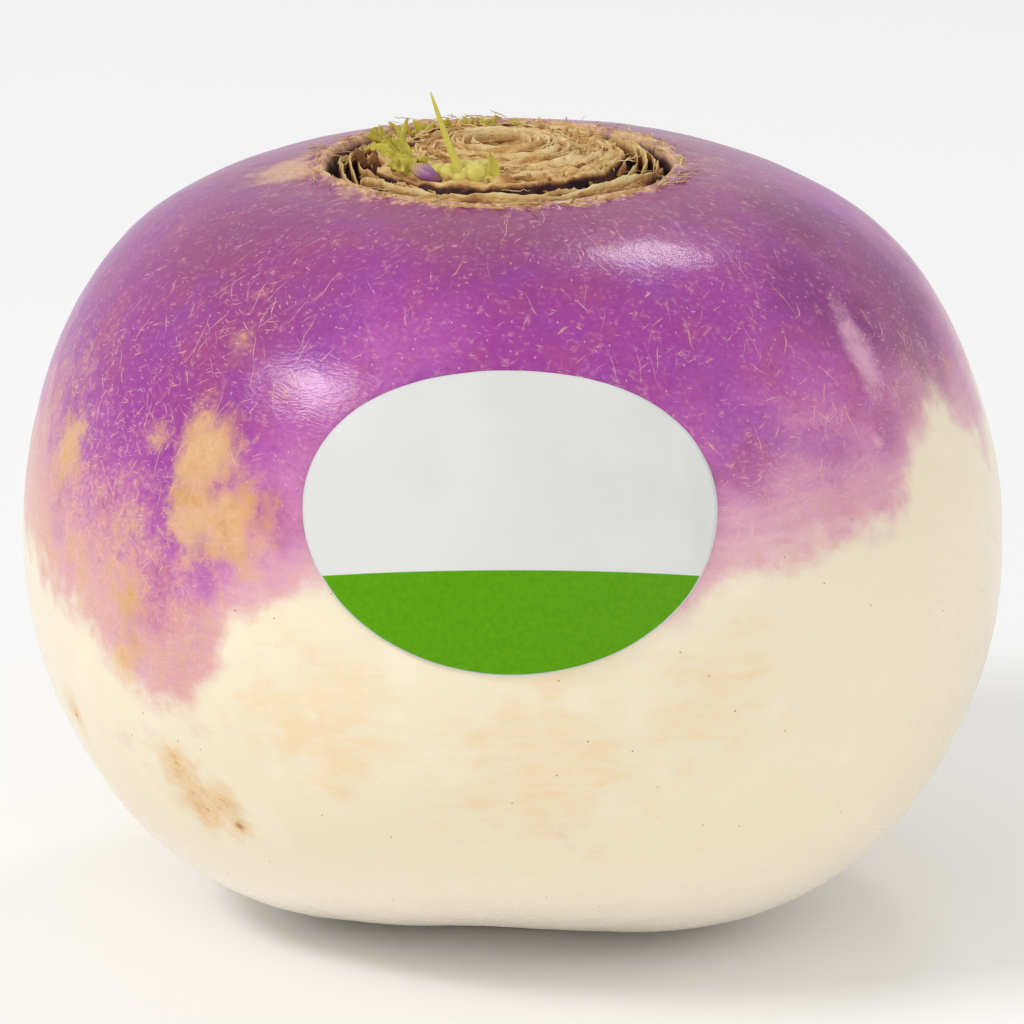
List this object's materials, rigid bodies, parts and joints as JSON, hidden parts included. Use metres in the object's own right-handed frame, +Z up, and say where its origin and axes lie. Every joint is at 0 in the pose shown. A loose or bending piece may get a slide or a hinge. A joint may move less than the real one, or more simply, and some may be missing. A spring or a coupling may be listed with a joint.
{
  "type": "turnip",
  "caption": "Purple-topped turnip trimmed of its leaves and taproot, with ringed dry leaf bases and new sprouts at its crown and a blank oval label on its front.",
  "frame": {"origin": "middle of the flat cut end of the taproot, which the turnip stands on", "axes": "+Z up through the crown, and the label faces -Y"},
  "size_m": [0.0901, 0.0908, 0.0785],
  "materials": {
    "turnip_skin": "satin",
    "dry_leaf_base": "matte",
    "sprout": "satin",
    "bud": "satin",
    "label_paper": "satin"
  },
  "bodies": {
    "root": {"root": "turnip_skin", "leaf_base_crown": "dry_leaf_base", "front_sprout": "sprout", "side_sprout": "sprout", "purple_bud": "bud", "label": "label_paper"}
  },
  "joints": []
}
